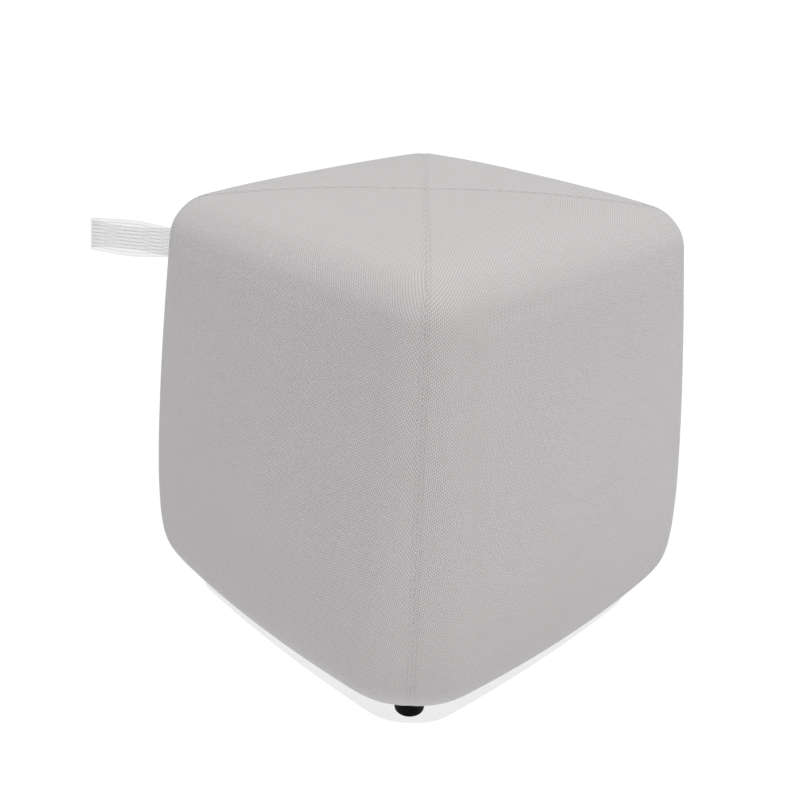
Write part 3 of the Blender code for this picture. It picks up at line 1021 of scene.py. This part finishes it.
# ---- Base skirt ------------------------------------------
SKIRT_COLUMNS = 72
HEM_OUTLINE = ((1.0, 0.7), (1.0, 0.25), (0.4, 0.0))  # as shares of the rolled hem's thickness and height
SKIRT_MIDDLE = SKIRT_HALF_WIDTH - SKIRT_BULGE - SKIRT_THICKNESS / 2
SKIRT_MIDDLE_RADIUS = SKIRT_CORNER_RADIUS - SKIRT_THICKNESS / 2


def skirt_section(skirt, low, high):
    """A strip's cross-section as (offset, height), down its outside and up its inside."""
    cloth, hem = skirt.cloth_thickness / 2, skirt.hem_thickness / 2
    outside = [(cloth, high), (cloth, low + skirt.hem_height)]
    outside += [(hem * out, low + skirt.hem_height * up) for out, up in HEM_OUTLINE]
    return outside + [(-offset, z) for offset, z in reversed(outside)]


def skirt_line(offset):
    """Points along the strip that faces +X, this far out from its middle, as (x, y)."""
    t = np.linspace(-1.0, 1.0, SKIRT_COLUMNS + 1)
    return rounded_side(t, SKIRT_MIDDLE + offset, SKIRT_MIDDLE_RADIUS + offset, SKIRT_BULGE)


class POUF_OT_base_skirt(Operator):
    """Hangs the four strips of the sheer base skirt, each with a rolled hem"""

    bl_idname = "pouf.base_skirt"
    bl_label = "Base skirt"

    def execute(self, context):
        skirt = context.scene.pouf_skirt
        material = skirt_cloth(skirt)
        low, high = SKIRT_CLEARANCE, UNDERSIDE_HEIGHT - GAP
        section = skirt_section(skirt, low, high)
        lines = [np.stack(np.broadcast_arrays(*skirt_line(offset), z), axis=-1) for offset, z in section]
        rings = np.stack(lines, axis=1) + (SEWN_GAP / math.sqrt(2), 0, 0)
        run = run_length(np.stack(skirt_line(0.0), axis=-1))
        for panel_name, degrees in PANELS:
            name = panel_name.replace("panel", "base_skirt")
            mesh = loft_mesh(name, turned(rings, degrees))
            keep_uv(mesh, "cloth", np.repeat(run, len(section)), np.tile([z for _, z in section], len(run)))
            strip = add_object(name + "_cloth", mesh)
            smooth_but_for_edges(strip, degrees=60)
            dress(strip, material, "skirt_cloth", name)
        return {"FINISHED"}


# ---- Glides ----------------------------------------------
GLIDE_SIDES = 64


class POUF_OT_glides(Operator):
    """Turns the four moulded glides under the corners"""

    bl_idname = "pouf.glides"
    bl_label = "Glides"

    def execute(self, context):
        glides = context.scene.pouf_glides
        material = glide_plastic(glides)
        height = UNDERSIDE_HEIGHT - GAP
        for corner, x_side, y_side in CORNERS:
            place = (x_side * GLIDE_PLACE, y_side * GLIDE_PLACE, height / 2)
            size = {"vertices": GLIDE_SIDES, "radius": glides.radius, "depth": height, "location": place}
            glide = new_primitive(f"glide_{corner}_moulded", bpy.ops.mesh.primitive_cylinder_add, **size)
            use_only(glide)
            bpy.ops.object.mode_set(mode="EDIT")
            bm = bmesh.from_edit_mesh(glide.data)
            for edge in bm.edges:
                edge.select_set(all(vert.co.z < SAME_POINT for vert in edge.verts))
            bmesh.update_edit_mesh(glide.data)
            bpy.ops.mesh.bevel(offset=glides.edge_radius, segments=5)
            bpy.ops.object.mode_set(mode="OBJECT")
            smooth_but_for_edges(glide, degrees=40)
            dress(glide, material, "glide_plastic", f"glide_{corner}")
        return {"FINISHED"}


# ---- Studio ----------------------------------------------
SENSOR_WIDTH = 36.0


def key_light(stage):
    """A broad soft light overhead, as from a large lit ceiling panel."""
    data = bpy.data.lights.new("key", "SUN")
    data.energy = stage.key_strength
    data.angle = stage.key_softness
    light = add_object("key", data)
    light.location = (0.5, 0.0, 3.0)
    light.rotation_euler = (0.0, stage.key_lean, 0.0)


def surroundings(stage):
    """White surroundings that grow brighter towards the zenith."""
    world = bpy.data.worlds.new("studio")
    world.use_nodes = True
    nodes, links = world.node_tree.nodes, world.node_tree.links
    background = nodes["Background"]
    background.inputs["Color"].default_value = WHITE
    direction = nodes.new("ShaderNodeTexCoord")
    parts = nodes.new("ShaderNodeSeparateXYZ")
    strength = nodes.new("ShaderNodeMapRange")
    strength.inputs["To Min"].default_value = stage.horizon_strength
    strength.inputs["To Max"].default_value = stage.zenith_strength
    links.new(direction.outputs["Generated"], parts.inputs[0])
    links.new(parts.outputs["Z"], strength.inputs["Value"])
    links.new(strength.outputs[0], background.inputs["Strength"])
    return world


def placed_camera(stage):
    """The camera at the photo's angle."""
    across, around = math.cos(stage.azimuth), math.sin(stage.azimuth)
    right = Vector((across, around, 0.0))
    back = Vector((around, -across, math.tan(stage.elevation))).normalized()
    up = back.cross(right)
    level, tipped = math.cos(stage.roll), math.sin(stage.roll)
    facing = Matrix((level * right + tipped * up, level * up - tipped * right, back)).transposed().to_4x4()
    target = right * stage.aim_side + Vector((0.0, 0.0, stage.aim_height))
    data = bpy.data.cameras.new("camera")
    data.sensor_width = SENSOR_WIDTH
    data.lens = stage.lens
    data.clip_start, data.clip_end = 0.05, 100.0
    camera = add_object("camera", data)
    camera.matrix_world = Matrix.Translation(target + back * stage.distance) @ facing
    return camera


class POUF_OT_stage(Operator):
    """Sets the pale floor, the soft studio light and the camera"""

    bl_idname = "pouf.stage"
    bl_label = "Stage"

    def execute(self, context):
        stage = context.scene.pouf_stage
        size = {"vertices": 96, "radius": stage.floor_radius, "fill_type": "NGON"}
        floor = new_primitive("studio_floor", bpy.ops.mesh.primitive_circle_add, **size)
        floor.data.materials.append(studio_floor(stage))
        context.scene.world = surroundings(stage)
        context.scene.view_settings.view_transform = "Standard"
        key_light(stage)
        context.scene.camera = placed_camera(stage)
        return {"FINISHED"}


# ---- Add-on ----------------------------------------------
class POUF_PT_sidebar(Panel):
    """Lists the pouf's pieces and their settings"""

    bl_idname = "POUF_PT_sidebar"
    bl_label = "Cube pouf stool"
    bl_space_type = "VIEW_3D"
    bl_region_type = "UI"
    bl_category = "Pouf"

    def draw(self, context):
        for operator, group in zip(OPERATORS, SETTINGS):
            box = self.layout.box()
            box.operator(operator.bl_idname)
            settings = getattr(context.scene, group)
            for name in settings.__annotations__:
                box.prop(settings, name)


OPERATORS = (
    POUF_OT_cover_panels,
    POUF_OT_seam_stitches,
    POUF_OT_pull_loop,
    POUF_OT_base_skirt,
    POUF_OT_glides,
    POUF_OT_stage,
)
SETTINGS = {
    "pouf_cover": PoufCover,
    "pouf_seams": PoufSeams,
    "pouf_loop": PoufLoop,
    "pouf_skirt": PoufSkirt,
    "pouf_glides": PoufGlides,
    "pouf_stage": PoufStage,
}


def register():
    for cls in (*SETTINGS.values(), *OPERATORS, POUF_PT_sidebar):
        bpy.utils.register_class(cls)
    for name, group in SETTINGS.items():
        setattr(bpy.types.Scene, name, PointerProperty(type=group))


def unregister():
    for name in SETTINGS:
        delattr(bpy.types.Scene, name)
    for cls in (POUF_PT_sidebar, *reversed(OPERATORS), *reversed(SETTINGS.values())):
        bpy.utils.unregister_class(cls)


def main():
    register()
    bpy.ops.pouf.cover_panels()
    bpy.ops.pouf.seam_stitches()
    bpy.ops.pouf.pull_loop()
    bpy.ops.pouf.base_skirt()
    bpy.ops.pouf.glides()
    bpy.ops.pouf.stage()


if __name__ == "__main__":
    main()
